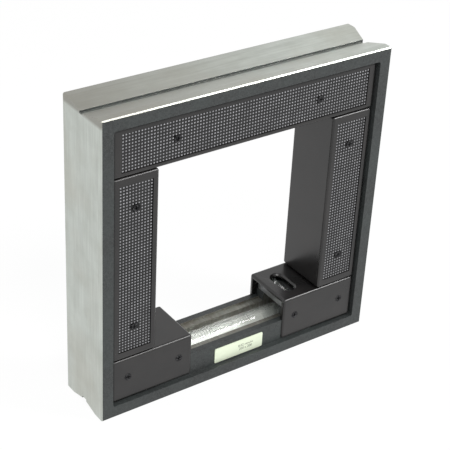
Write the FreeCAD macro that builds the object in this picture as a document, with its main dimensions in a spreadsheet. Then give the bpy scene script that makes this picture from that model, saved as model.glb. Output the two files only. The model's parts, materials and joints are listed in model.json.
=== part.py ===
"""Square frame spirit level: a cast frame with V-grooved measuring faces, moulded grips, a main
vial in an adjustable carrier and a cross vial.

Frame: millimetres, +X to the right seen from the front, +Y to the back, +Z up.
Origin: middle of the base, on the plane of the bottom measuring face.
"""
import FreeCAD, Part
import math
import os
import Sketcher
from FreeCAD import Placement, Rotation, Vector

OUT_DIR = "parts"
BAD_STATES = ("Invalid", "Error")

# ---------------------------------------------------------------- driving dimensions

SIZES = (
    # frame casting
    ("frame_size", 200.0, "outside width and height of the frame"),
    ("frame_depth", 41.5, "front to back over the rims"),
    ("rim_width", 8.0, "raised rim seen from the front"),
    ("rim_corner_radius", 1.5, "inside corners of the rim"),
    ("edge_chamfer", 0.7, "broken edges of the ground faces"),
    ("bar_recess", 3.5, "lower bar's face, below the rim"),
    ("bar_top", 23.0, "lower bar's top, above the base"),
    ("bar_block_inset", 4.1, "raised face of the lower bar, short of the opening's side"),
    ("cheek_length", 25.1, "cheeks beside the trough, from the opening's side"),
    ("cheek_top", 28.0, "top of the cheeks, above the base"),
    # V-grooves
    ("vee_half_width", 15.5, "half width of a V at the measuring face"),
    ("vee_depth", 3.3, "depth of a V at its relief slot"),
    ("relief_half_width", 2.2, "half width of the relief slot"),
    ("relief_depth", 1.3, "relief slot below the end of the V"),
    # trough of the main vial
    ("trough_half_width", 8.4, "vial trough, half width"),
    ("trough_end_inset", 3.1, "vial trough's end, short of the opening's side"),
    ("trough_floor", 7.6, "vial trough's floor, above the base"),
    ("shoulder_half_width", 12.9, "machined shoulder round the trough, half width"),
    ("shoulder_drop", 1.2, "machined shoulder below the bar's top"),
    # moulded covers
    ("grip_width", 29.5, "width of the grips seen from the front"),
    ("cover_recess", 2.3, "face of the covers, below the rim"),
    ("cover_wall", 2.6, "wall of the covers"),
    ("cover_gap", 1.0, "gap between the covers and the rim"),
    ("cover_seam", 0.5, "seam between two covers"),
    ("cover_edge_radius", 1.5, "rounded outer edges of the covers"),
    ("cap_top", 38.5, "top of the end caps, above the base"),
    ("cap_plate", 2.2, "thickness of the end caps' top plate"),
    ("cap_reach", 29.1, "open inner end of the end caps, from the opening's side"),
    ("cap_clearance", 0.3, "end cap round the lower bar's raised face"),
    # knurled fields
    ("knurl_pitch", 2.0, "pitch of the knurl"),
    ("knurl_depth", 0.8, "depth of the knurl's valleys"),
    ("knurl_tip_drop", 0.05, "tips of the knurl below the cover's face"),
    ("knurl_margin", 5.0, "plain end of a grip beyond its knurl"),
    ("knurl_rows_top", 12, "ridges across the top grip"),
    ("knurl_rows_side", 11, "ridges across a side grip"),
    ("screw_pad_radius", 3.1, "plain pad round a grip screw"),
    # cover screws
    ("cover_screw_shank", 1.25, "cover screw, shank radius"),
    ("cover_screw_head", 2.35, "cover screw, head radius"),
    ("cover_screw_length", 7.0, "cover screw, length with its head"),
    ("top_screw_span", 100.0, "distance between the top grip's screws"),
    ("side_screw_span", 80.0, "distance between a side grip's screws"),
    ("cap_screw_inner_inset", 19.7, "end cap's inner screw, from the opening's side"),
    ("cap_screw_outer_inset", 10.5, "end cap's outer screw, from the cap's outer end"),
    ("cap_screw_height", 24.7, "end cap's screws, above the base"),
    # small screws of the saddle and the bridge
    ("small_screw_shank", 1.0, "small screw, shank radius"),
    ("small_screw_head", 1.9, "small screw, head radius"),
    ("small_screw_length", 7.0, "small screw, length with its head"),
    ("screw_head_edge", 0.15, "cylindrical edge of a countersunk head"),
    ("screw_through_gap", 0.2, "radial gap of a screw in its through hole"),
    ("screw_thread_gap", 0.03, "radial gap of a screw in its tapped hole"),
    ("screw_seat_gap", 0.05, "countersunk head inside its seat"),
    ("drill_beyond", 0.6, "tapped hole beyond the screw's tip"),
    ("recess_width", 0.6, "cross recess, width of an arm"),
    ("recess_span", 0.62, "cross recess, share of the head's radius"),
    ("recess_depth", 0.7, "cross recess, depth"),
    # name plate
    ("plate_width", 36.6, "name plate, width"),
    ("plate_height", 10.6, "name plate, height"),
    ("plate_thickness", 0.6, "name plate, thickness"),
    ("plate_centre_x", 1.5, "name plate's centre, from the middle"),
    ("plate_centre_z", 14.4, "name plate's centre, above the base"),
    ("plate_corner", 0.8, "name plate, corner radius"),
    # main vial
    ("vial_radius", 6.5, "main vial, outside radius"),
    ("vial_end_inset", 17.1, "main vial's end, short of the opening's side"),
    ("vial_axis_height", 16.8, "main vial's axis, above the base"),
    ("vial_bore_radius", 5.2, "main vial, bore radius in the middle"),
    ("vial_barrel_rise", 0.2, "main vial, bore radius lost at its ends"),
    ("vial_end_wall", 2.5, "main vial, sealed end"),
    ("vial_end_radius", 1.0, "main vial, rounded end edge"),
    ("main_bubble_half_length", 9.0, "main bubble, half length"),
    ("main_bubble_radius", 1.6, "main bubble, radius of its section"),
    ("bubble_gap", 0.2, "bubble below the top of its bore"),
    # vial carrier
    ("carrier_half_width", 7.9, "vial carrier, half width"),
    ("carrier_end_gap", 1.5, "vial carrier short of the trough's end"),
    ("carrier_lift", 1.0, "vial carrier above the trough's floor"),
    ("bed_end_inset", 10.0, "white bed short of the vial's end"),
    ("bed_thickness", 0.4, "white bed and packing, thickness"),
    ("bed_gap", 0.04, "gap on each side of the bed"),
    ("packing_seam", 0.2, "seam between the bed and the packing"),
    ("packing_end_gap", 0.5, "packing short of the vial's end"),
    # pivot and adjustment
    ("pivot_inset", 8.1, "pivot pin, from the opening's right side"),
    ("pivot_radius", 1.5, "pivot pin, radius"),
    ("pivot_fit", 0.05, "pivot pin in the carrier, radial gap"),
    ("pivot_press_gap", 0.01, "pivot pin in the casting, radial gap"),
    ("pivot_end_gap", 0.3, "pivot pin's end below the web's face"),
    ("adjuster_inset", 10.1, "adjusting screw, from the opening's left side"),
    ("adjuster_radius", 1.5, "adjusting screw, shank radius"),
    ("adjuster_head_radius", 3.0, "adjusting screw, head radius"),
    ("adjuster_head_height", 2.4, "adjusting screw, head height"),
    ("adjuster_tip_lift", 0.8, "adjusting screw's tip above the carrier's underside"),
    ("adjuster_slot_width", 0.8, "adjusting screw, slot width"),
    ("adjuster_slot_depth", 1.1, "adjusting screw, slot depth"),
    ("adjuster_fit", 0.08, "adjusting screw, radial gap in its holes"),
    ("adjuster_end_play", 0.05, "adjusting screw, axial play at the bridge"),
    ("bridge_half_length", 5.0, "bridge along the trough, half length"),
    ("bridge_side_gap", 0.85, "bridge and saddle short of the web's face"),
    ("bridge_thickness", 3.0, "bridge, thickness"),
    ("ring_radius", 2.8, "retaining ring, outside radius"),
    ("ring_thickness", 0.8, "retaining ring, thickness"),
    # cross vial
    ("cross_inset", 16.6, "cross vial and its sight slot, from the opening's right side"),
    ("cross_radius", 3.5, "cross vial, outside radius"),
    ("cross_bore_radius", 2.7, "cross vial, bore radius in the middle"),
    ("cross_barrel_rise", 0.15, "cross vial, bore radius lost at its ends"),
    ("cross_end_wall", 1.5, "cross vial, sealed end"),
    ("cross_end_radius", 0.6, "cross vial, rounded end edge"),
    ("cross_fit", 0.05, "cross vial in its saddle, radial gap"),
    ("cross_end_gap", 0.1, "cross vial in its saddle, gap at the ends"),
    ("saddle_end_wall", 2.4, "saddle beyond the ends of the cross vial"),
    ("cross_floor", 0.8, "saddle under the cross vial, thickness"),
    ("cross_bubble_half_length", 3.4, "cross bubble, half length"),
    ("cross_bubble_radius", 0.9, "cross bubble, radius of its section"),
    ("saddle_half_length", 8.2, "saddle along the trough, half length"),
    ("saddle_height", 4.0, "saddle, height"),
    ("saddle_screw_offset", 5.8, "saddle's screws, from the cross vial's axis"),
    ("slot_width", 8.5, "sight slot, width"),
    ("slot_length", 19.5, "sight slot, length across the cap"),
    ("slot_bevel", 1.2, "sight slot, bevelled rim"),
    # working values
    ("cut_over", 2.0, "how far a cut runs past the faces it opens"),
)

doc = FreeCAD.newDocument("frame_level")
sheet = doc.addObject("Spreadsheet::Sheet", "Dims")
for row, (alias, number, note) in enumerate(SIZES, start=1):
    sheet.set(f"A{row}", note)
    sheet.set(f"B{row}", str(number))
    sheet.setAlias(f"B{row}", alias)
doc.recompute()

# Places that several pieces share, as expressions of the driving dimensions.
HALF_SIZE = "Dims.frame_size / 2"
HALF_DEPTH = "Dims.frame_depth / 2"
RIM_INSIDE = f"({HALF_SIZE} - Dims.rim_width)"
RIM_TOP = "(Dims.frame_size - Dims.rim_width)"
COVER_FACE = f"({HALF_DEPTH} - Dims.cover_recess)"
WEB_FACE = f"({COVER_FACE} - Dims.cover_wall)"
BAR_FACE = f"({HALF_DEPTH} - Dims.bar_recess)"
COVER_OUTSIDE = f"({RIM_INSIDE} - Dims.cover_gap)"
COVER_BOTTOM = "(Dims.rim_width + Dims.cover_gap)"
COVER_TOP = f"({RIM_TOP} - Dims.cover_gap)"
WINDOW_HALF = f"({COVER_OUTSIDE} - Dims.grip_width)"
WINDOW_TOP = f"({COVER_TOP} - Dims.grip_width)"
OPENING_HALF = f"({WINDOW_HALF} + Dims.cover_wall)"
OPENING_TOP = f"({WINDOW_TOP} + Dims.cover_wall)"
TROUGH_HALF = f"({OPENING_HALF} - Dims.trough_end_inset)"
CARRIER_HALF = f"({TROUGH_HALF} - Dims.carrier_end_gap)"
VIAL_HALF = f"({OPENING_HALF} - Dims.vial_end_inset)"
BED_HALF = f"({VIAL_HALF} - Dims.bed_end_inset)"
CHEEK_START = f"({OPENING_HALF} - Dims.cheek_length)"
BAR_BLOCK_HALF = f"({OPENING_HALF} - Dims.bar_block_inset)"
CAP_INNER_END = f"({OPENING_HALF} - Dims.cap_reach)"
CAP_SCREW_INNER = f"({OPENING_HALF} - Dims.cap_screw_inner_inset)"
CAP_SCREW_OUTER = f"({COVER_OUTSIDE} - Dims.cap_screw_outer_inset)"
PIVOT_X = f"({OPENING_HALF} - Dims.pivot_inset)"
ADJUSTER_X = f"(Dims.adjuster_inset - {OPENING_HALF})"
CROSS_X = f"({OPENING_HALF} - Dims.cross_inset)"
BRIDGE_HALF = f"({WEB_FACE} - Dims.bridge_side_gap)"
BRIDGE_SCREW_Y = f"((Dims.trough_half_width + {BRIDGE_HALF}) / 2)"
CROSS_HALF = f"({BRIDGE_HALF} - Dims.saddle_end_wall - Dims.cross_end_gap)"
SIDE_GRIP_BOTTOM = "(Dims.cap_top + Dims.cover_seam)"
SIDE_GRIP_TOP = f"({WINDOW_TOP} - Dims.cover_seam)"
SIDE_GRIP_MIDDLE = f"(({SIDE_GRIP_BOTTOM} + {SIDE_GRIP_TOP}) / 2)"
SIDE_GRIP_AXIS = f"({WINDOW_HALF} + Dims.grip_width / 2)"
TOP_GRIP_AXIS = f"({WINDOW_TOP} + Dims.grip_width / 2)"
CARRIER_BOTTOM = "(Dims.trough_floor + Dims.carrier_lift)"
CARRIER_MIDDLE = f"(({CARRIER_BOTTOM} + Dims.vial_axis_height) / 2)"
BED_OUTSIDE = "(Dims.vial_radius + Dims.bed_thickness + 2 * Dims.bed_gap)"
BRIDGE_TOP = "(Dims.cheek_top + Dims.bridge_thickness)"
SADDLE_TOP = "(Dims.cheek_top + Dims.saddle_height)"
CROSS_AXIS_HEIGHT = "(Dims.cheek_top + Dims.cross_floor + Dims.cross_radius)"
SLOT_RADIUS = "(Dims.slot_width / 2)"

FINISHED = []


# ---------------------------------------------------------------- helpers

def num(expression):
    """The number that an expression of the sheet stands for now."""
    return float(sheet.evalExpression(expression))


def finish(item, label):
    """Name a finished sub-part; its label names its file."""
    item.Label = label
    FINISHED.append(item)
    return item


def place_item(item, label, spot, turn):
    """Put a finished sub-part at a spot given by expressions."""
    item.Placement = Placement(Vector(*[num(place) for place in spot]), turn)
    for axis, place in zip("xyz", spot):
        item.setExpression(f".Placement.Base.{axis}", place)
    return finish(item, label)


def new_body(name):
    return doc.addObject("PartDesign::Body", name)


def origin_plane(body, role):
    return next(item for item in body.Origin.OriginFeatures if item.Role == role)


def new_sketch(body, role, offset="0"):
    """Sketch on an origin plane, moved along the plane's normal (-Y on the XZ plane)."""
    sketch = body.newObject("Sketcher::SketchObject", body.Name + "_sketch")
    sketch.AttachmentSupport = [(origin_plane(body, role), "")]
    sketch.MapMode = "FlatFace"
    sketch.setExpression(".AttachmentOffset.Base.z", offset)
    return sketch


def tie_point(sketch, geometry, vertex, across, up):
    """Hold a vertex at a place given by two expressions."""
    for kind, expression in (("DistanceX", across), ("DistanceY", up)):
        constraint = Sketcher.Constraint(kind, -1, 1, geometry, vertex, num(expression))
        index = sketch.addConstraint(constraint)
        sketch.setExpression(f"Constraints[{index}]", expression)


def add_polygon(sketch, corners):
    """Closed loop of straight lines through corners given as pairs of expressions."""
    first = sketch.GeometryCount
    spots = [Vector(num(across), num(up), 0) for across, up in corners]
    count = len(spots)
    for index, spot in enumerate(spots):
        sketch.addGeometry(Part.LineSegment(spot, spots[(index + 1) % count]))
    for index in range(count):
        following = first + (index + 1) % count
        sketch.addConstraint(Sketcher.Constraint("Coincident", first + index, 2, following, 1))
    for index, (across, up) in enumerate(corners):
        tie_point(sketch, first + index, 1, across, up)


def add_rectangle(sketch, left, right, bottom, top):
    add_polygon(sketch, [(left, bottom), (right, bottom), (right, top), (left, top)])


def add_circle(sketch, across, up, radius):
    circle = Part.Circle(Vector(num(across), num(up), 0), Vector(0, 0, 1), num(radius))
    geometry = sketch.addGeometry(circle)
    index = sketch.addConstraint(Sketcher.Constraint("Radius", geometry, num(radius)))
    sketch.setExpression(f"Constraints[{index}]", radius)
    tie_point(sketch, geometry, 3, across, up)


def add_slot(sketch, across, half_straight, radius):
    """Stadium along the sketch's second axis, centred on it."""
    x, half, r = num(across), num(half_straight), num(radius)
    top = Part.ArcOfCircle(Part.Circle(Vector(x, half, 0), Vector(0, 0, 1), r), 0, math.pi)
    low = Part.ArcOfCircle(Part.Circle(Vector(x, -half, 0), Vector(0, 0, 1), r), math.pi, 2 * math.pi)
    arc_top = sketch.addGeometry(top)
    arc_low = sketch.addGeometry(low)
    left = sketch.addGeometry(Part.LineSegment(Vector(x - r, half, 0), Vector(x - r, -half, 0)))
    right = sketch.addGeometry(Part.LineSegment(Vector(x + r, -half, 0), Vector(x + r, half, 0)))
    joints = ((arc_top, 2, left, 1), (left, 2, arc_low, 1), (arc_low, 2, right, 1), (right, 2, arc_top, 1))
    for one, end, other, start in joints:
        sketch.addConstraint(Sketcher.Constraint("Tangent", one, end, other, start))
    tie_point(sketch, arc_top, 3, across, half_straight)
    tie_point(sketch, arc_low, 3, across, f"-({half_straight})")
    index = sketch.addConstraint(Sketcher.Constraint("Radius", arc_top, r))
    sketch.setExpression(f"Constraints[{index}]", radius)


def add_feature(body, kind, sketch, length, side, reverse):
    feature = body.newObject(kind, body.Name + "_feature")
    feature.Profile = sketch
    feature.SideType = side
    feature.Reversed = reverse
    if length is None:
        feature.Type = "ThroughAll"
    else:
        feature.setExpression("Length", length)
    return feature


def pad(body, sketch, length, side="Symmetric", reverse=False):
    return add_feature(body, "PartDesign::Pad", sketch, length, side, reverse)


def pocket(body, sketch, length=None, side="Symmetric", reverse=False):
    return add_feature(body, "PartDesign::Pocket", sketch, length, side, reverse)


def revolve(body, sketch, axis):
    feature = body.newObject("PartDesign::Revolution", body.Name + "_feature")
    feature.Profile = sketch
    feature.ReferenceAxis = (sketch, [axis])
    feature.Angle = 360
    return feature


def edge_names(shape, choose):
    return [f"Edge{index}" for index, edge in enumerate(shape.Edges, start=1) if choose(edge)]


def dress_edges(body, kind, size_name, size, choose):
    """Fillet or chamfer the edges that the test picks."""
    doc.recompute()
    base = body.Tip
    feature = body.newObject(kind, body.Name + "_feature")
    feature.Base = (base, edge_names(base.Shape, choose))
    feature.setExpression(size_name, size)
    return feature


def fillet(body, radius, choose):
    return dress_edges(body, "PartDesign::Fillet", "Radius", radius, choose)


def chamfer(body, size, choose):
    return dress_edges(body, "PartDesign::Chamfer", "Size", size, choose)


def near(one, other):
    return abs(one - other) < 0.001


def runs_along(edge, axis):
    """True for an edge whose box is flat in the two other directions."""
    box = edge.BoundBox
    spans = {"x": box.XLength, "y": box.YLength, "z": box.ZLength}
    return all(near(span, 0) for name, span in spans.items() if name != axis) and spans[axis] > 0.001


# ---------------------------------------------------------------- countersunk screws

def screw_sizes(kind):
    return f"Dims.{kind}_shank", f"Dims.{kind}_head", f"Dims.{kind}_length"


def make_screw(label, kind, spot, turn):
    """Countersunk cross-recess screw, its head's face at the spot, pointing along turned -Z."""
    shank, head, length = screw_sizes(kind)
    cone_end = f"-({head} - {shank} + Dims.screw_head_edge)"
    body = new_body(label)
    profile = new_sketch(body, "XZ_Plane")
    add_polygon(profile, [("0", "0"), (head, "0"), (head, "-Dims.screw_head_edge"), (shank, cone_end),
                          (shank, f"-({length})"), ("0", f"-({length})")])
    revolve(body, profile, "V_Axis")
    arms = new_sketch(body, "XY_Plane")
    reach = f"({head} * Dims.recess_span)"
    half = "Dims.recess_width / 2"
    add_polygon(arms, [(f"-{reach}", f"-{half}"), (f"-{half}", f"-{half}"), (f"-{half}", f"-{reach}"),
                       (half, f"-{reach}"), (half, f"-{half}"), (reach, f"-{half}"),
                       (reach, half), (half, half), (half, reach),
                       (f"-{half}", reach), (f"-{half}", half), (f"-{reach}", half)])
    pocket(body, arms, "Dims.recess_depth", "One side")
    return place_item(body, label, spot, turn)


def countersink(body, kind, role, offset, spots, reverse):
    """Countersunk through holes that fit a screw whose head lies flush with the sketch's plane."""
    shank, head, length = screw_sizes(kind)
    sketch = new_sketch(body, role, offset)
    for across, up in spots:
        add_circle(sketch, across, up, shank)
    doc.recompute()
    hole = body.newObject("PartDesign::Hole", body.Name + "_feature")
    hole.Profile = sketch
    hole.Threaded = False
    hole.setExpression("Diameter", f"2 * ({shank} + Dims.screw_through_gap)")
    hole.DepthType = "ThroughAll"
    hole.Reversed = reverse
    hole.HoleCutType = "Countersink"
    hole.HoleCutCustomValues = True
    hole.HoleCutCountersinkAngle = 90
    hole.setExpression("HoleCutDiameter", f"2 * ({head} + Dims.screw_head_edge + Dims.screw_seat_gap)")
    return hole


# Screw places seen from the front: (name, across, up).
def top_screw_spots():
    half = "Dims.top_screw_span / 2"
    return [("left", f"-{half}", TOP_GRIP_AXIS), ("right", half, TOP_GRIP_AXIS)]


def side_screw_spots(sign):
    half = "Dims.side_screw_span / 2"
    across = f"({sign} * {SIDE_GRIP_AXIS})"
    return [("lower", across, f"({SIDE_GRIP_MIDDLE} - {half})"),
            ("upper", across, f"({SIDE_GRIP_MIDDLE} + {half})")]


def cap_screw_spots(sign):
    return [("inner", f"({sign} * {CAP_SCREW_INNER})", "Dims.cap_screw_height"),
            ("outer", f"({sign} * {CAP_SCREW_OUTER})", "Dims.cap_screw_height")]


COVER_SCREWS = (
    ("top_grip", top_screw_spots()),
    ("left_grip", side_screw_spots(-1)),
    ("right_grip", side_screw_spots(1)),
    ("left_cap", cap_screw_spots(-1)),
    ("right_cap", cap_screw_spots(1)),
)
FACING_FRONT = Rotation(Vector(1, 0, 0), 90)
FACING_BACK = Rotation(Vector(1, 0, 0), -90)


# ---------------------------------------------------------------- frame casting

def add_vee(sketch, face, sign, swap=False):
    """V-groove profile with its relief slot, cut inwards from a measuring face."""
    outside = f"({face} + {sign} * Dims.cut_over)"
    wall = f"({face} - {sign} * Dims.vee_depth)"
    roof = f"({face} - {sign} * (Dims.vee_depth + Dims.relief_depth))"
    half, slot = "Dims.vee_half_width", "Dims.relief_half_width"
    corners = [(f"-{half}", outside), (half, outside), (half, face), (slot, wall),
               (slot, roof), (f"-{slot}", roof), (f"-{slot}", wall), (f"-{half}", face)]
    if swap:
        corners = [(up, across) for across, up in corners]
    add_polygon(sketch, corners)


def tap_cover_holes(body):
    """Tapped holes for the cover screws, in from both faces of the web."""
    for side, reverse in ((1, True), (-1, False)):
        sketch = new_sketch(body, "XZ_Plane", f"({side} * {WEB_FACE})")
        for cover, spots in COVER_SCREWS:
            for name, across, up in spots:
                add_circle(sketch, across, up, "(Dims.cover_screw_shank + Dims.screw_thread_gap)")
        depth = "(Dims.cover_screw_length - Dims.cover_wall + Dims.drill_beyond)"
        pocket(body, sketch, depth, "One side", not reverse)


def tap_top_holes(body):
    """Tapped holes in the cheeks for the bridge and the saddle."""
    sketch = new_sketch(body, "XY_Plane", "Dims.cheek_top")
    spots = bridge_screw_spots() + saddle_screw_spots()
    for across, up in spots:
        add_circle(sketch, across, up, "(Dims.small_screw_shank + Dims.screw_thread_gap)")
    pocket(body, sketch, "(Dims.small_screw_length - Dims.bridge_thickness + Dims.drill_beyond)", "One side")


def make_frame_casting():
    body = new_body("frame_casting")
    web = new_sketch(body, "XZ_Plane")
    add_rectangle(web, f"-{HALF_SIZE}", HALF_SIZE, "0", "Dims.frame_size")
    cheek, half = CHEEK_START, OPENING_HALF
    add_polygon(web, [(f"-{cheek}", "Dims.bar_top"), (cheek, "Dims.bar_top"), (cheek, "Dims.cheek_top"),
                      (half, "Dims.cheek_top"), (half, OPENING_TOP), (f"-{half}", OPENING_TOP),
                      (f"-{half}", "Dims.cheek_top"), (f"-{cheek}", "Dims.cheek_top")])
    pad(body, web, f"2 * {WEB_FACE}")
    rim = new_sketch(body, "XZ_Plane")
    add_rectangle(rim, f"-{HALF_SIZE}", HALF_SIZE, "0", "Dims.frame_size")
    add_rectangle(rim, f"-{RIM_INSIDE}", RIM_INSIDE, "Dims.rim_width", RIM_TOP)
    pad(body, rim, "Dims.frame_depth")
    fillet(body, "Dims.rim_corner_radius", is_rim_corner)
    bar = new_sketch(body, "XZ_Plane")
    bottom = "(Dims.rim_width - Dims.edge_chamfer)"
    add_rectangle(bar, f"-{BAR_BLOCK_HALF}", BAR_BLOCK_HALF, bottom, "Dims.bar_top")
    pad(body, bar, f"2 * {BAR_FACE}")
    chamfer(body, "Dims.edge_chamfer", is_outer_edge)
    level_vees = new_sketch(body, "YZ_Plane")
    add_vee(level_vees, "0", -1)
    add_vee(level_vees, "Dims.frame_size", 1)
    pocket(body, level_vees)
    upright_vee = new_sketch(body, "XY_Plane")
    add_vee(upright_vee, HALF_SIZE, 1, swap=True)
    pocket(body, upright_vee)
    shoulder = new_sketch(body, "XY_Plane", "Dims.bar_top")
    add_rectangle(shoulder, f"-{CHEEK_START}", CHEEK_START,
                  "-Dims.shoulder_half_width", "Dims.shoulder_half_width")
    pocket(body, shoulder, "Dims.shoulder_drop", "One side")
    trough = new_sketch(body, "XY_Plane", "Dims.cheek_top")
    add_rectangle(trough, f"-{TROUGH_HALF}", TROUGH_HALF,
                  "-Dims.trough_half_width", "Dims.trough_half_width")
    pocket(body, trough, "(Dims.cheek_top - Dims.trough_floor)", "One side")
    pin_hole = new_sketch(body, "XZ_Plane")
    add_circle(pin_hole, PIVOT_X, CARRIER_MIDDLE, "(Dims.pivot_radius + Dims.pivot_press_gap)")
    pocket(body, pin_hole)
    tap_cover_holes(body)
    tap_top_holes(body)
    return finish(body, "frame_casting")


def is_rim_corner(edge):
    box = edge.BoundBox
    at_side = near(abs(box.Center.x), num(RIM_INSIDE))
    at_end = near(box.Center.z, num("Dims.rim_width")) or near(box.Center.z, num(RIM_TOP))
    return runs_along(edge, "y") and at_side and at_end


def is_outer_edge(edge):
    """Edges where the ground faces meet each other and the rims."""
    middle = edge.BoundBox.Center
    at_side = near(abs(middle.x), num(HALF_SIZE))
    at_end = near(middle.z, 0) or near(middle.z, num("Dims.frame_size"))
    at_face = near(abs(middle.y), num(HALF_DEPTH))
    return (at_face and (at_side or at_end)) or (at_side and at_end)


# ---------------------------------------------------------------- grips

def knurl_corners(axis, rows, face):
    """Sawtooth that cuts ridges into a face: (along the face, out of the face) pairs."""
    valley = f"({face} - Dims.knurl_depth)"
    tip = f"({face} - Dims.knurl_tip_drop)"
    outside = f"({face} + Dims.cut_over)"
    half = rows / 2
    corners = [(f"({axis} - {half} * Dims.knurl_pitch)", outside)]
    for row in range(rows):
        corners.append((f"({axis} + {row - half} * Dims.knurl_pitch)", valley))
        corners.append((f"({axis} + {row - half + 0.5} * Dims.knurl_pitch)", tip))
    corners.append((f"({axis} + {half} * Dims.knurl_pitch)", valley))
    corners.append((f"({axis} + {half} * Dims.knurl_pitch)", outside))
    return corners


def add_grip_details(body, role, offset, corners_of_face, length, spots):
    """Knurled fields, plain screw pads and countersunk holes on the front and the back."""
    for side in (-1, 1):
        field = new_sketch(body, role, offset)
        add_polygon(field, corners_of_face(side))
        pocket(body, field, length)
    places = [(across, up) for name, across, up in spots]
    for side in (1, -1):
        pads = new_sketch(body, "XZ_Plane", f"({side} * {COVER_FACE})")
        for across, up in places:
            add_circle(pads, across, up, "Dims.screw_pad_radius")
        pad(body, pads, "Dims.cover_wall", "One side", side == 1)
    for side in (1, -1):
        countersink(body, "cover_screw", "XZ_Plane", f"({side} * {COVER_FACE})", places, side == -1)


def is_face_edge(edge):
    """Edges round the front and the back of a cover, and its corners from front to back."""
    at_face = near(abs(edge.BoundBox.Center.y), num(COVER_FACE))
    return at_face or runs_along(edge, "y")


def make_top_grip():
    body = new_body("top_grip")
    outline = new_sketch(body, "XZ_Plane")
    add_rectangle(outline, f"-{COVER_OUTSIDE}", COVER_OUTSIDE, WINDOW_TOP, COVER_TOP)
    pad(body, outline, f"2 * {COVER_FACE}")
    fillet(body, "Dims.cover_edge_radius", is_face_edge)
    cavity = new_sketch(body, "XZ_Plane")
    side = f"({COVER_OUTSIDE} + Dims.cut_over)"
    above = f"({COVER_TOP} + Dims.cut_over)"
    below = f"({WINDOW_TOP} - Dims.cut_over)"
    half = OPENING_HALF
    add_polygon(cavity, [(f"-{side}", below), (f"-{half}", below), (f"-{half}", OPENING_TOP),
                         (half, OPENING_TOP), (half, below), (side, below), (side, above), (f"-{side}", above)])
    pocket(body, cavity, f"2 * {WEB_FACE}")
    rows = int(num("Dims.knurl_rows_top"))

    def face_corners(sign):
        pairs = knurl_corners(TOP_GRIP_AXIS, rows, COVER_FACE)
        return [(f"({sign} * {out})", along) for along, out in pairs]

    length = f"2 * ({COVER_OUTSIDE} - Dims.knurl_margin)"
    add_grip_details(body, "YZ_Plane", "0", face_corners, length, top_screw_spots())
    return finish(body, "top_grip")


def make_side_grip(label, sign):
    body = new_body(label)
    outline = new_sketch(body, "XZ_Plane")
    inside = f"({sign} * {WINDOW_HALF})"
    outside = f"({sign} * {COVER_OUTSIDE})"
    add_rectangle(outline, inside, outside, SIDE_GRIP_BOTTOM, SIDE_GRIP_TOP)
    pad(body, outline, f"2 * {COVER_FACE}")
    fillet(body, "Dims.cover_edge_radius", is_face_edge)
    cavity = new_sketch(body, "XZ_Plane")
    add_rectangle(cavity, f"({sign} * {OPENING_HALF})", f"({sign} * ({COVER_OUTSIDE} + Dims.cut_over))",
                  f"({SIDE_GRIP_BOTTOM} - Dims.cut_over)", f"({SIDE_GRIP_TOP} + Dims.cut_over)")
    pocket(body, cavity, f"2 * {WEB_FACE}")
    rows = int(num("Dims.knurl_rows_side"))

    def face_corners(side):
        pairs = knurl_corners(f"({sign} * {SIDE_GRIP_AXIS})", rows, COVER_FACE)
        return [(along, f"({side} * {out})") for along, out in pairs]

    length = f"({SIDE_GRIP_TOP} - {SIDE_GRIP_BOTTOM} - 2 * Dims.knurl_margin)"
    add_grip_details(body, "XY_Plane", SIDE_GRIP_MIDDLE, face_corners, length, side_screw_spots(sign))
    return finish(body, label)


# ---------------------------------------------------------------- end caps

def cut_sight_slot(body):
    sketch = new_sketch(body, "XY_Plane", "Dims.cap_top")
    add_slot(sketch, CROSS_X, f"(Dims.slot_length / 2 - {SLOT_RADIUS})", SLOT_RADIUS)
    pocket(body, sketch, "(Dims.cap_plate + Dims.cut_over)", "One side")
    top = num("Dims.cap_top")
    reach = num("Dims.slot_width")

    def on_slot_rim(edge):
        middle = edge.BoundBox.Center
        return near(edge.BoundBox.ZMin, top) and near(edge.BoundBox.ZMax, top) \
            and abs(middle.x - num(CROSS_X)) < reach \
            and edge.BoundBox.YLength < num("Dims.slot_length")

    chamfer(body, "Dims.slot_bevel", on_slot_rim)


def make_end_cap(label, sign, has_slot):
    body = new_body(label)
    inner, outer = f"({sign} * {CAP_INNER_END})", f"({sign} * {COVER_OUTSIDE})"
    outline = new_sketch(body, "XZ_Plane")
    add_rectangle(outline, inner, outer, COVER_BOTTOM, "Dims.cap_top")
    pad(body, outline, f"2 * {COVER_FACE}")
    fillet(body, "Dims.cover_edge_radius", is_face_edge)
    cavity = new_sketch(body, "XZ_Plane")
    start = f"({sign} * ({CAP_INNER_END} - Dims.cut_over))"
    end = f"({sign} * ({COVER_OUTSIDE} + Dims.cut_over))"
    wall = f"({sign} * {OPENING_HALF})"
    below = f"({COVER_BOTTOM} - Dims.cut_over)"
    above = "(Dims.cap_top + Dims.cut_over)"
    ceiling = "(Dims.cap_top - Dims.cap_plate)"
    add_polygon(cavity, [(start, below), (end, below), (end, above), (wall, above), (wall, ceiling), (start, ceiling)])
    pocket(body, cavity, f"2 * {WEB_FACE}")
    relief = new_sketch(body, "XZ_Plane")
    add_rectangle(relief, start, f"({sign} * ({BAR_BLOCK_HALF} + Dims.cap_clearance))",
                  below, "(Dims.bar_top + Dims.cap_clearance)")
    pocket(body, relief, f"2 * {BAR_FACE}")
    places = [(across, up) for name, across, up in cap_screw_spots(sign)]
    for side in (1, -1):
        countersink(body, "cover_screw", "XZ_Plane", f"({side} * {COVER_FACE})", places, side == -1)
    if has_slot:
        cut_sight_slot(body)
    return finish(body, label)


def make_cover_screws():
    for cover, spots in COVER_SCREWS:
        for name, across, up in spots:
            make_screw(f"{cover}_screw_front_{name}", "cover_screw", (across, f"-{COVER_FACE}", up), FACING_FRONT)
            make_screw(f"{cover}_screw_back_{name}", "cover_screw", (across, COVER_FACE, up), FACING_BACK)


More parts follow.
